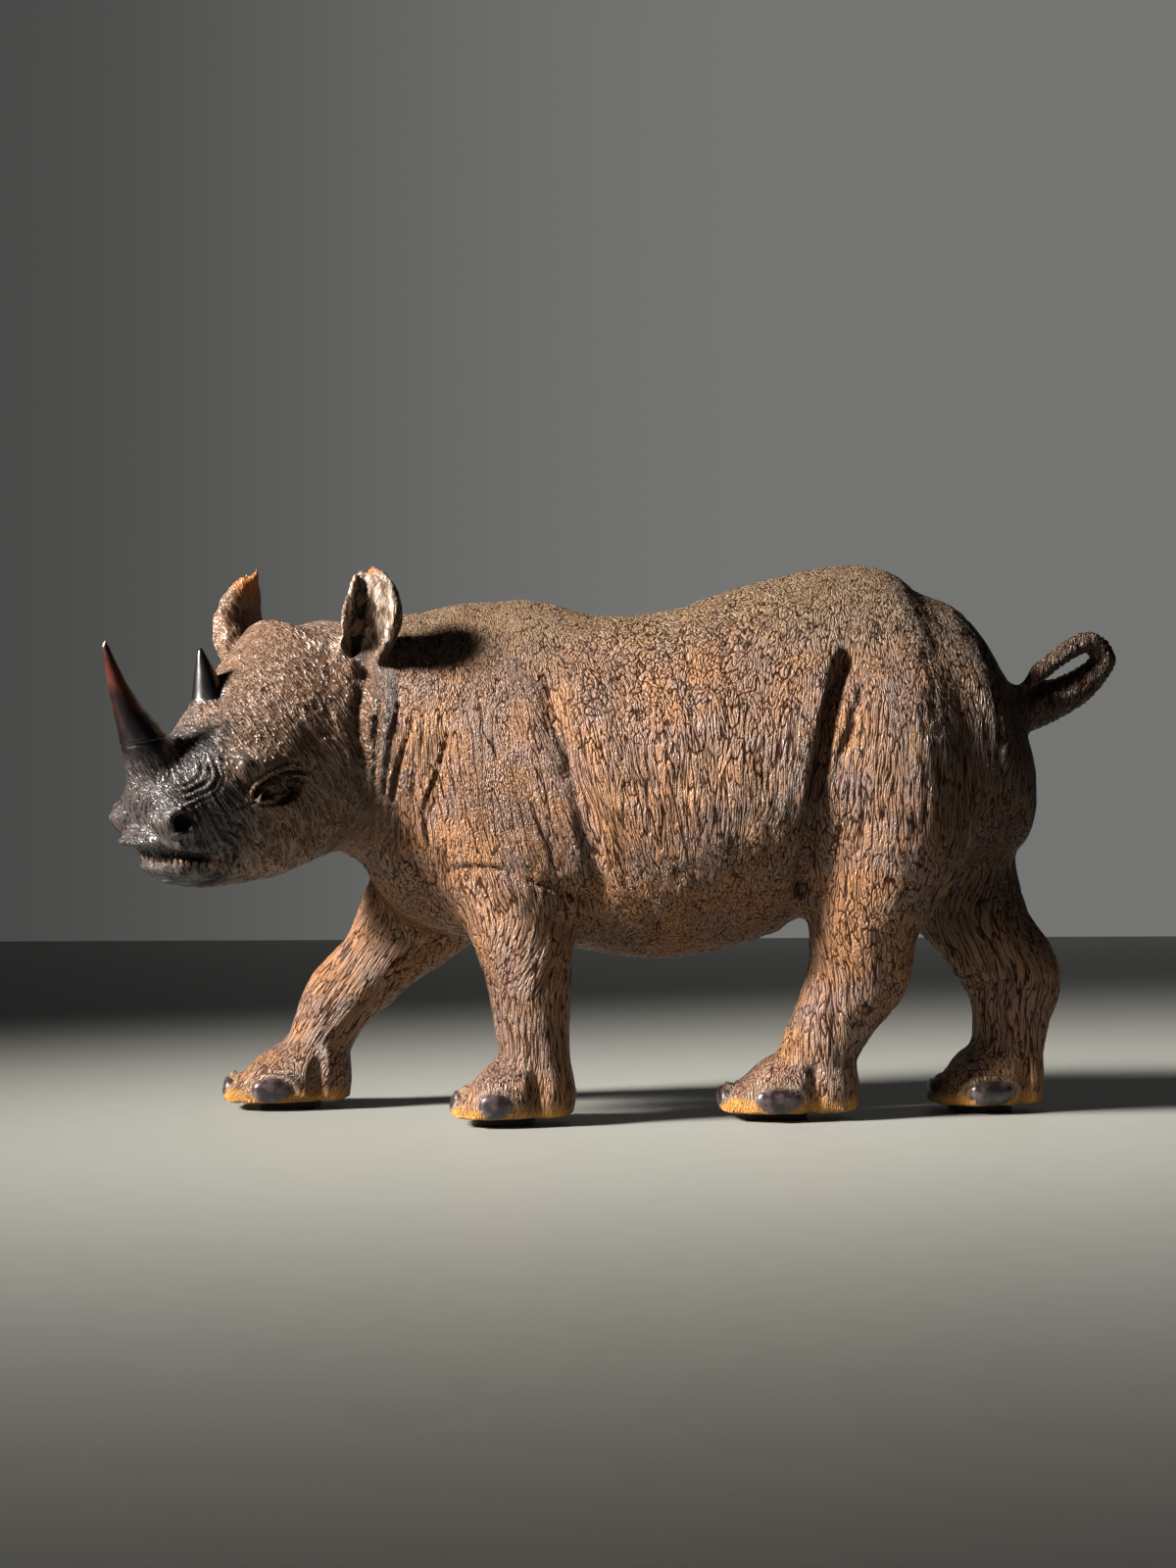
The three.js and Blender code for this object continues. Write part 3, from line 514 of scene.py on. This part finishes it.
def mouth_relief(p):
    """A slit with a row of square teeth, a lip above and below, and curved folds at each corner."""
    run = step(p.forward, 66, 74)
    b = above_mouth(p)
    relief = run * (-3.0 * bell(b - 0.6, 3.2) + 1.5 * bell(b - 6.2, 2.0) + 1.1 * bell(b + 6.0, 1.8))
    along = p.x / 3.4 + 0.15 * noise(p.points / 5, 8)
    teeth = np.clip(np.abs(np.sin(math.pi * along)) * 1.7, 0, 1)
    relief += run * 2.4 * teeth * bell(b + 0.4, 1.9)
    corner = np.hypot(p.forward - 68, (b - 1) / 1.25) + 0.6 * noise(p.points / 5, 9)
    behind = step(67 - p.forward, -3, 3)
    relief += behind * 1.25 * np.cos(corner * 2 * math.pi / 3.6) * bell(corner - 9, 6)
    return on_head(p) * relief


def head_relief(p):
    """Folds round the horns, bumps on the muzzle and a few creases over the brow."""
    relief = np.zeros(len(p.x))
    sway = 1.5 * noise(p.points / 9, 14)
    centre = np.hypot(p.forward - 90, p.height - 181) + sway
    behind = step(96 - p.forward, 0, 14) * (p.height > 152)
    rings = 0.55 * np.cos(centre * 2 * math.pi / 2.9 + 2.2 * noise(p.points / 14, 16))
    relief += rings * bell(centre - 16, 6.0) * behind
    round_rear = np.hypot(p.forward - 54, np.abs(p.side) * 0.8) + 0.5 * sway
    low = bell(p.height - 203, 4.5) * (round_rear < 24)
    relief += 0.7 * low * np.cos((p.height - 0.2 * p.forward + 0.4 * sway) * 2 * math.pi / 2.7)
    bumps = noise(p.points / 2.9, 5)
    relief += 0.18 * bumps * step(p.forward, 76, 88) * (p.height > 138) * (p.height < 174)
    net = face_places(p, 0.35) + 2.2 * noise(p.points / 9, 15)[:, None]
    skin = (p.height < EAR_HEIGHT) * step(100 - p.forward, 0, 20)
    relief -= skin * 0.5 * creases(net / [4.6, 4.6, 26], 6, 0.13)
    relief -= skin * 0.3 * creases(net / [3.0, 3.0, 15], 7, 0.18)
    return relief * on_head(p)


def horns(p):
    return np.maximum(horn_share(p, FRONT_HORN), horn_share(p, REAR_HORN))


def horn_relief(p):
    seam = p.height - 189.5 - 0.3 * (96 - p.forward) + 0.4 * noise(p.points / 4, 17)
    front = (0.45 * bell(seam - 1.2, 0.8) - 0.7 * bell(seam, 0.7)) * (horn_share(p, FRONT_HORN) > 0)
    rear = 0.8 * bell(p.height - 209.5, 1.0) * (np.hypot(p.forward - 56, p.side) < 13)
    return on_head(p) * (front + rear)


# The slit down the front of the near ear, in x and z: cut into the relief and painted near black as the
# shadow in it.
SLIT = [(-112.4, 271.8), (-112.9, 258.0), (-115.4, 245.7), (-116.8, 234.9)]


def ear_slit(p):
    gap, along = line_distance(p.x, p.z, SLIT)
    width = 1.3 + 2.0 * np.sin(math.pi * np.clip(along, 0, 1))
    return on_head(p) * (p.side > 30) * (1 - step(gap, width, width + 1.0))


def ear_relief(p):
    """Soft folds that fan out from the foot of each ear."""
    here = on_head(p) * step(p.height, EAR_HEIGHT, 244) * (np.abs(p.side) > EAR_SIDE)
    spread = np.arctan2(np.abs(p.side) - 48, p.height - 222)
    fan = noise(np.stack([spread * 9, p.height / 22, p.side * 0], 1), 18)
    return here * (0.8 * fan + 0.5 * creases(np.stack([spread * 16, p.height / 16, p.side * 0], 1), 19, 0.25))


def nail_share(p):
    """The distance from the middle of the nearest nail in that nail's own sizes, so below 1 on a nail."""
    best = np.full(len(p.x), 9.0)
    for y, toe, nail, long in FEET:
        for hand in (-1, 1):
            reach = np.hypot((p.x - nail) / (long + 0.5), (p.z - 11.0) / 6.6)
            aside = hand * (p.y - y) > 12
            best = np.where(aside & (np.abs(p.x - nail) < 24), np.minimum(best, reach), best)
        front = np.hypot((p.y - y) / 9.5, (p.z - 10.5) / 6.2)
        ahead = (p.x < toe + 2) & (p.x > toe - 12) & (np.abs(p.y - y) < 16)
        best = np.where(ahead, np.minimum(best, front), best)
    return best


def foot_relief(p):
    best = nail_share(p)
    low = p.z < 30
    dome = 1.2 * np.sqrt(np.clip(1 - best**2, 0, 1))
    groove = -1.1 * bell(best - 1.08, 0.09) * (p.z > 8)
    folds = 0.9 * np.cos((best - 1.3) * 2 * math.pi / 0.36) * bell(best - 1.45, 0.3) * (p.z > 11)
    return low * (dome + groove + folds)


TAIL_LINE = [(218, 207), (236, 212), (250, 217), (262, 225), (270, 236), (262, 243), (250, 238), (240, 230)]


def tail_relief(p):
    """Thirty rings along the loop."""
    _, along = line_distance(p.x, p.z, TAIL_LINE)
    rings = np.cos(along * 2 * math.pi * 30 + 1.5 * noise(p.points / 4, 7))
    return on_tail(p) * 0.4 * rings * step(p.x, TAIL_X, 236)


def relief(p):
    """The whole relief. The upright wrinkles stop at the head, the tail and the feet."""
    plain = 1 - horns(p)
    face = step(p.forward, -24, -8) * (p.x < NECK_X) * (p.z > JAW_Z)
    quiet = (1 - face) * step(p.z, 22, 34) * (1 - on_tail(p))
    total = fold_relief(p) + quiet * wrinkle_relief(p, grain_places(p))
    total += plain * (head_relief(p) + nostril_relief(p) + eye_relief(p) + mouth_relief(p))
    return total + ear_relief(p) - 2.0 * ear_slit(p) + horn_relief(p) + foot_relief(p) + tail_relief(p)


# Colour.
def linear(code):
    """A colour such as "#8a5a3c" as linear red, green, blue and alpha."""
    parts = [int(code[i : i + 2], 16) / 255 for i in (1, 3, 5)]
    return [c / 12.92 if c <= 0.04045 else ((c + 0.055) / 1.055) ** 2.4 for c in parts] + [1.0]


class Finish:
    """A material whose nodes are added one by one."""

    def __init__(self, name):
        self.material = bpy.data.materials.new(name)
        self.material.use_nodes = True
        self.tree = self.material.node_tree
        self.shader = self.tree.nodes["Principled BSDF"]

    def add(self, kind, settings=None, **inputs):
        """Adds a node. An input's value is a number or colour, or the output that is linked to it."""
        node = self.tree.nodes.new(kind)
        for key, value in (settings or {}).items():
            setattr(node, key, value)
        self.join(node, **inputs)
        return node

    def join(self, node, **inputs):
        for key, value in inputs.items():
            socket = node.inputs[int(key[1:])] if key[1:].isdigit() else node.inputs[key.replace("_", " ")]
            if isinstance(value, bpy.types.NodeSocket):
                self.tree.links.new(value, socket)
            else:
                socket.default_value = value

    def math(self, kind, first, second=0.0, clamp=False):
        node = self.add("ShaderNodeMath", {"operation": kind, "use_clamp": clamp}, i0=first, i1=second)
        return node.outputs[0]

    def ramp(self, value, low, high, start=0.0, end=1.0):
        """value from low to high becomes start to end, with a soft curve."""
        node = self.add("ShaderNodeMapRange", {"interpolation_type": "SMOOTHSTEP"},
                        i0=value, i1=low, i2=high, i3=start, i4=end)
        return node.outputs[0]

    def mask(self, name):
        return self.add("ShaderNodeAttribute", {"attribute_name": name}).outputs["Fac"]

    def vectors(self, name):
        return self.add("ShaderNodeAttribute", {"attribute_name": name}).outputs["Vector"]

    def between(self, share, first, second):
        """A number that is first where share is 0 and second where it is 1."""
        rest = self.math("MULTIPLY", first, self.math("SUBTRACT", 1.0, share))
        return self.math("ADD", rest, self.math("MULTIPLY", second, share))

    def blend(self, share, first, second):
        """A colour that is first where share is 0 and second where it is 1."""
        node = self.add("ShaderNodeMix", {"data_type": "RGBA"}, Factor=share)
        self.join(node, i6=first, i7=second)
        return node.outputs[2]

    def noise(self, place, size, detail=2.0, rough=0.55, scale=(1, 1, 1)):
        """Soft random values with features of about size, in the unit of place."""
        spread = self.add("ShaderNodeMapping", None, Vector=place, Scale=[s / size for s in scale])
        node = self.add("ShaderNodeTexNoise", None, Vector=spread.outputs[0], Scale=1.0,
                        Detail=detail, Roughness=rough)
        return node.outputs[0]

    def valleys(self, place, size, scale, width):
        """Winding valleys, 0 at their bottoms and 1 on the ridges, about size millimetres apart."""
        value = self.noise(place, size, 0.6, 0.5, scale)
        gap = self.math("ABSOLUTE", self.math("SUBTRACT", value, 0.5))
        share = self.math("DIVIDE", gap, width, True)
        return self.math("MULTIPLY", share, self.math("SUBTRACT", 2.0, share))


# The skin's net in millimetres: the pitch of its wrinkles, pebbles, threads and long creases, that of
# the face's strands, and the height of them all.
WRINKLE = 1.75
PEBBLE = 0.85 * WRINKLE
THREAD = 0.95
CREASE = 4.6
STRAND = 2.9
FINE_STRAND = 1.8
RELIEF = 1.2

# The masks that are laid over the skin's colour, in this order.
RUBBED = [
    ("worn", "#b98c44"),
    ("ear_rim", "#a86428"),
    ("crescent", "#a9967e"),
    ("sole", "#b9823c"),
    ("teeth", "#8f7363"),
]


def wandering(f, grain):
    """The grain's coordinates with slow random shifts, in millimetres."""
    slow = f.add("ShaderNodeMapping", None, Vector=grain, Scale=[0.06, 0.06, 0.03]).outputs[0]
    wander = f.add("ShaderNodeTexNoise", None, Scale=1.0, Detail=1.0, Vector=slow)
    shift = f.add("ShaderNodeVectorMath", {"operation": "MULTIPLY"}, i0=wander.outputs[1], i1=[6, 6, 9])
    return f.add("ShaderNodeVectorMath", {"operation": "ADD"}, i0=grain, i1=shift.outputs[0]).outputs[0]


def skin_height(f, grain):
    """Wrinkles, cross threads and creases as valleys between ridges, and thin raised strands on the head."""
    bent = wandering(f, grain)
    wrinkles = f.valleys(bent, WRINKLE, (1, 1, 0.09), 0.16)
    pebbles = f.valleys(bent, PEBBLE, (1, 1, 0.55), 0.17)
    wrinkles = f.between(f.mask("net"), wrinkles, pebbles)
    threads = f.valleys(bent, THREAD, (1, 1, 0.25), 0.16)
    crossing = f.valleys(bent, THREAD, (0.4, 0.4, 1), 0.14)
    long_creases = f.valleys(bent, CREASE, (1, 1, 0.12), 0.06)
    swell = f.ramp(f.noise(bent, 9.0, 1.0, 0.5, (1, 1, 0.2)), 0.3, 0.7, 0.75, 1.0)
    hide = f.math("MULTIPLY", wrinkles, f.math("MULTIPLY", long_creases, swell))
    for layer, share in ((threads, 0.45), (crossing, 0.28)):
        hide = f.math("MULTIPLY", hide, f.math("ADD", f.math("MULTIPLY", layer, share), 1 - share))
    strands = f.valleys(bent, STRAND, (1, 1, 0.07), 0.10)
    finer = f.valleys(bent, FINE_STRAND, (1, 1, 0.10), 0.10)
    face = f.math("SUBTRACT", 1.0, f.math("MULTIPLY", strands, finer))
    face = f.math("ADD", f.math("MULTIPLY", face, 0.66), f.math("MULTIPLY", threads, 0.26))
    return f.between(f.mask("head"), hide, face)


def ridge_colour(f, place):
    """The rubbed ridges, with the slow drifts of the stain, painted shade over the rump and a painted
    highlight on the ears' insides.
    """
    drift = f.noise(place, 30.0, 3.0, 0.6)
    patch = f.noise(place, 11.0, 3.0, 0.65)
    ridge = f.blend(f.ramp(drift, 0.38, 0.62), linear("#a0734e"), linear("#8b6c5a"))
    warm = f.math("MULTIPLY", f.mask("warm"), f.ramp(patch, 0.3, 0.7, 0.5, 1.0))
    ridge = f.blend(warm, ridge, linear("#a97444"))
    greyed = f.math("MULTIPLY", f.ramp(f.noise(place, 17.0, 2.0), 0.52, 0.68), 0.55)
    ridge = f.blend(greyed, ridge, linear("#87706a"))
    ridge = f.blend(f.mask("back"), ridge, linear("#877256"))
    ridge = f.blend(f.math("MULTIPLY", f.ramp(patch, 0.52, 0.75), 0.45), ridge, linear("#6c4a35"))
    ridge = f.blend(f.math("MULTIPLY", f.mask("head"), 0.75), ridge, linear("#6f5847"))
    ridge = f.blend(f.mask("muzzle"), ridge, linear("#453e3c"))
    # Painted shade over the rump, which turns away from the key lamp.
    ridge = f.blend(f.mask("rump_shade"), ridge, linear("#3a261c"))
    folds = f.ramp(f.noise(place, 3.2, 2.0, 0.6, (1, 1, 0.22)), 0.38, 0.6)
    # A painted highlight on the insides of the ears, pale between brown folds.
    return f.blend(f.mask("ear_inner_highlight"), ridge, f.blend(folds, linear("#6a5040"), linear("#cbb8a6")))


def skin_colour(f, grain, place, height, polish, rough_part):
    """Pale ridges over darker crevices, partly painted shade, then the rubbed places, painted shade in the
    deep cuts and the ear's slit, the horns and the nails.
    """
    # The crevices are darker than the ridges: partly the stain's own deeper tone in the wrinkles, partly
    # painted shade in them.
    crevice = f.blend(f.mask("head"), linear("#2b150a"), linear("#3a2416"))
    crevice = f.blend(f.mask("muzzle"), crevice, linear("#0f0c0c"))
    colour = f.blend(f.ramp(height, 0.0, 0.46), crevice, ridge_colour(f, place))
    for name, code in RUBBED:
        colour = f.blend(f.mask(name), colour, linear(code))
    # Painted shade, near black, in the deepest cuts and in the near ear's slit.
    colour = f.blend(f.math("MULTIPLY", f.mask("hollow_shade"), rough_part), colour, linear("#0f0705"))
    streaks = f.ramp(f.noise(grain, 7.0, 3.0, 0.6, (1, 1, 0.2)), 0.3, 0.7)
    reddish = f.math("MULTIPLY", f.mask("horn_red"), streaks)
    colour = f.blend(f.mask("horn"), colour, f.blend(reddish, linear("#0f0c0c"), linear("#5a2c20")))
    nail_tone = f.blend(f.ramp(polish, 0.4, 0.65), linear("#2a2223"), linear("#564a4c"))
    return f.blend(f.mask("nail"), colour, nail_tone)


def skin_gloss(f, height, smooth_part, rough_part):
    """Roughness and shine: waxed ridges, horns and nails shine, crevices don't."""
    rough = f.ramp(height, 0.25, 0.7, 0.60, 0.38)
    shiny = f.math("MAXIMUM", f.math("MULTIPLY", f.mask("muzzle"), 1.2), f.mask("sheen"))
    rough = f.math("SUBTRACT", rough, f.math("MULTIPLY", shiny, 0.10))
    rough = f.math("ADD", f.math("MULTIPLY", rough, rough_part), f.math("MULTIPLY", smooth_part, 0.30))
    shine = f.math("MAXIMUM", f.ramp(height, 0.0, 0.6, 0.08, 0.55), f.math("MULTIPLY", smooth_part, 0.6))
    return rough, shine


def skin_finish():
    """Dark stained hardwood, cut into fine wrinkles and waxed."""
    f = Finish("carved_dark_wood")
    grain = f.vectors("grain")
    place = f.vectors("place")
    height = skin_height(f, grain)
    smooth_part = f.math("MAXIMUM", f.mask("horn"), f.mask("nail"), True)
    rough_part = f.math("SUBTRACT", 1.0, smooth_part, True)
    polish = f.noise(place, 5.0, 2.0)
    low_part = f.math("MAXIMUM", f.mask("ear"), f.mask("muzzle"))
    low_share = f.math("SUBTRACT", 1.0, f.math("MULTIPLY", low_part, 0.6))
    skin = f.math("MULTIPLY", f.math("MULTIPLY", height, rough_part), low_share)
    bump = f.add("ShaderNodeBump", None, Strength=1.0, Distance=RELIEF * MM,
                 Height=f.math("ADD", skin, f.math("MULTIPLY", polish, 0.04)))
    colour = skin_colour(f, grain, place, height, polish, rough_part)
    rough, shine = skin_gloss(f, height, smooth_part, rough_part)
    f.join(f.shader, Base_Color=colour, Roughness=rough, Normal=bump.outputs[0], IOR=1.55,
           Specular_IOR_Level=shine)
    return f.material


def felt_finish():
    """Pressed wool felt, black: no gloss, with a short soft nap."""
    f = Finish("black_felt")
    place = f.add("ShaderNodeTexCoord").outputs["Object"]
    fibres = f.noise(place, 0.9 * MM, 4.0, 0.7)
    bump = f.add("ShaderNodeBump", None, Strength=0.6, Distance=0.3 * MM, Height=fibres)
    colour = f.blend(fibres, linear("#0b0b0b"), linear("#242322"))
    f.join(f.shader, Base_Color=colour, Roughness=0.95, Normal=bump.outputs[0], Sheen_Weight=0.3)
    return f.material


def put_mask(mesh, name, values):
    layer = mesh.attributes.new(name, "FLOAT", "POINT")
    layer.data.foreach_set("value", np.clip(values, 0, 1).astype(np.float32))


def put_vectors(mesh, name, values):
    layer = mesh.attributes.new(name, "FLOAT_VECTOR", "POINT")
    layer.data.foreach_set("vector", values.astype(np.float32).ravel())


# The directions in which the hollows of the ears face.
NEAR_EAR_FACES = math.radians(-112)
FAR_EAR_FACES = math.radians(128)


def colour_masks(p, heights, normals):
    """The masks that the surface finish uses, each with its name; heights is the relief at each point."""
    spots = noise(p.points / 9, 11)
    wide = noise(p.points / 22, 12)
    head = on_head(p)
    yield "horn", horns(p)
    yield "horn_red", head * step(p.height, 190, 214) * (p.forward > 80)
    yield "nail", (1 - step(nail_share(p), 0.94, 1.02)) * (p.z > 4.6) * (p.z < 20)
    muzzle = step(p.forward + 6 * spots + 0.15 * (190 - p.height), 50, 74)
    yield "muzzle", head * muzzle * step(p.height, JAW_Z, 122)
    pale = bell(nail_share(p) - 1.2, 0.13) * (p.z > 6) * (p.z < 26)
    yield "crescent", pale * 0.6
    yield "sole", (1 - step(p.z + 2.5 * spots + 0.5 * wide, 7.5, 12.5)) * 0.95
    warm = step(-p.x, 20, 100) * (1 - step(p.z, 175, 240)) * (p.z > 60)
    warm = np.maximum(warm, (1 - step(p.z, 100, 150)) * (p.z > 70) * 0.7)
    ribs = bell(np.hypot((p.x - 30) / 1.3, p.z - 205), 34) * 0.8
    yield "warm", np.maximum(warm, ribs) * (0.5 + 0.4 * wide) * (1 - head * 0.75)
    yield "back", step(p.z + 10 * wide, 215, 265) * (p.x > -110) * 0.8
    # Painted shade: the rump and the tops of the hind legs made darker.
    yield "rump_shade", step(p.x + 6 * wide, 150, 215) * 0.75 * step(p.z, 60, 110)
    ear = head * step(p.height, EAR_HEIGHT, 246) * (np.abs(p.side) > EAR_SIDE)
    rim = step(p.height + 4 * spots, 268, 276) * step(wide + spots, -0.5, 0.3)
    yield "ear_rim", ear * rim * 0.85
    # The faces of the ears that turn towards their openings get a painted highlight.
    faces = np.where(p.side > 0, NEAR_EAR_FACES, FAR_EAR_FACES)
    open_side = normals[:, 0] * np.cos(faces) + normals[:, 1] * np.sin(faces)
    yield "ear_inner_highlight", ear * step(open_side, 0.1, 0.5)
    yield "sheen", np.maximum(ear, head * 0.5)
    hip = bell(np.hypot(p.x - 163, p.z - 192), 9) * step(spots, -0.2, 0.5) * (p.y < 0)
    yield "worn", hip * 0.7
    mouth = np.abs(above_mouth(p)) < 3.2
    yield "teeth", head * mouth * (p.forward > 66) * step(heights, -0.7, 0.3)
    # Painted shade: the deepest cuts of the relief and the near ear's slit turn near black.
    deep = step(-heights, 1.0, 2.8) * (1 - ear) * (0.3 + 0.7 * np.maximum(head, p.z < 34))
    slit = ear_slit(p) * (normals[:, 1] < 0.3)
    yield "hollow_shade", np.maximum(deep, slit)
    yield "head", step(p.forward, -18, 4) * step(p.z, JAW_Z, 125) * (p.x < NECK_X)
    yield "ear", ear
    upper = step(p.z, 190, 215) * (1 - step(p.x, -50, 10))
    shoulder = bell(np.hypot(p.x + 45, p.z - 165), 38)
    yield "net", np.maximum(upper, shoulder) * (0.85 + 0.15 * spots)


def raised(p, lowest):
    """The relief at each point; the soles stay flat on their pads."""
    return relief(p) * step(p.z, lowest + 0.6, lowest + 2.2)


def carved_rhinoceros():
    mesh = skin_mesh("carved_body")
    points = mesh_points(mesh)
    lowest = points[:, 2].min()
    set_points(mesh, points + mesh_normals(mesh) * raised(Places(points), lowest)[:, None])
    mesh = thinned(mesh, TRIANGLES)
    points = mesh_points(mesh)
    p = Places(points)
    put_vectors(mesh, "grain", grain_places(p))
    put_vectors(mesh, "place", points)
    for name, values in colour_masks(p, raised(p, lowest), mesh_normals(mesh)):
        put_mask(mesh, name, values)
    mesh.shade_smooth()
    piece = add_piece("carved_rhinoceros", mesh)
    mesh.materials.clear()
    mesh.materials.append(skin_finish())
    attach(piece, "root")
    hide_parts("carved_body")


def felt_pads():
    finish = felt_finish()
    for name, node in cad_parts.items():
        if name.startswith("pad_"):
            node.data.materials.clear()
            node.data.materials.append(finish)


# The studio. The camera's place is millimetres off the near fore pad, its turns are degrees. The
# stage and the lamps are in metres; floor and wall reach equally far to either side.
CAMERA_OFF_PAD = (42.0, -975.0, 132.0)
CAMERA_UP = 2.2
CAMERA_ROLL = -0.25
LENS = 44.55
SENSOR = 36.0
FLOOR_REACH = 4
WALL_REACH = 1.5
WALL_PLACE = 2.2
WALL_TALL = 1.9
WALL_GLOW = 0.9
WORLD_GLOW = 0.035
LAMPS_AIM = Vector((0, 0, 0.14))


def pale_floor():
    floor = bpy.data.meshes.new("floor")
    corners = [(-FLOOR_REACH, -WALL_PLACE, 0), (FLOOR_REACH, -WALL_PLACE, 0),
               (FLOOR_REACH, WALL_PLACE, 0), (-FLOOR_REACH, WALL_PLACE, 0)]
    floor.from_pydata(corners, [], [(0, 1, 2, 3)])
    ground = add_piece("floor", floor)
    paint = Finish("pale_floor")
    spot = paint.add("ShaderNodeTexCoord").outputs["Object"]
    speckle = paint.noise(spot, 0.02, 3.0)
    tone = paint.blend(speckle, linear("#90928d"), linear("#969893"))
    paint.join(paint.shader, Base_Color=tone, Roughness=0.55)
    floor.materials.append(paint.material)


def grey_backdrop():
    """A wall that glows a little, brighter to the right."""
    wall = bpy.data.meshes.new("backdrop")
    corners = [(-WALL_REACH, WALL_PLACE, 0), (WALL_REACH, WALL_PLACE, 0),
               (WALL_REACH, WALL_PLACE, WALL_TALL), (-WALL_REACH, WALL_PLACE, WALL_TALL)]
    wall.from_pydata(corners, [], [(0, 1, 2, 3)])
    backdrop = add_piece("backdrop", wall)
    grey = Finish("grey_backdrop")
    place = grey.add("ShaderNodeNewGeometry").outputs["Position"]
    across = grey.add("ShaderNodeSeparateXYZ", None, Vector=place).outputs["X"]
    tone = grey.blend(grey.ramp(across, -1.1, 0.3), linear("#4c4c4b"), linear("#7a7a78"))
    grey.join(grey.shader, Base_Color=linear("#1c1c1d"), Roughness=0.9,
              Emission_Color=tone, Emission_Strength=WALL_GLOW)
    wall.materials.append(grey.material)


def soft_world():
    """A dim grey all round, and colours shown as they are."""
    world = bpy.data.worlds.new("studio")
    world.use_nodes = True
    sky = world.node_tree.nodes["Background"]
    sky.inputs["Color"].default_value = linear("#8a8c90")
    sky.inputs["Strength"].default_value = WORLD_GLOW
    bpy.context.scene.world = world
    bpy.context.scene.view_settings.view_transform = "Standard"


def lamp(name, place, size, power, code, spread):
    """A square soft light that faces the animal's middle; spread is the width of its beam."""
    data = bpy.data.lights.new(name, "AREA")
    data.shape = "SQUARE"
    data.size = size
    data.spread = spread
    data.energy = power
    data.color = linear(code)[:3]
    light = add_piece(name, data)
    light.location = place
    light.rotation_euler = (LAMPS_AIM - Vector(place)).to_track_quat("-Z", "Y").to_euler()


def camera():
    eye = bpy.data.cameras.new("camera")
    eye.lens = LENS
    eye.sensor_width = SENSOR
    piece = add_piece("camera", eye)
    pad = ZERO + [PAD_PLACE[0], PAD_PLACE[1], 0.0]
    place = Matrix.Translation(Vector((pad + CAMERA_OFF_PAD) * MM))
    up = Matrix.Rotation(math.radians(90 + CAMERA_UP), 4, "X")
    roll = Matrix.Rotation(math.radians(CAMERA_ROLL), 4, "Z")
    piece.matrix_world = place @ (up @ roll)
    bpy.context.scene.camera = piece


carved_rhinoceros()
felt_pads()
pale_floor()
grey_backdrop()
soft_world()
lamp("key", (-2.45, -0.85, 1.55), size=0.6, power=8.0, code="#fff8f0", spread=math.radians(22))
lamp("fill", (0.3, -2.8, 1.0), size=1.6, power=0.7, code="#eef2ff", spread=math.pi)
camera()
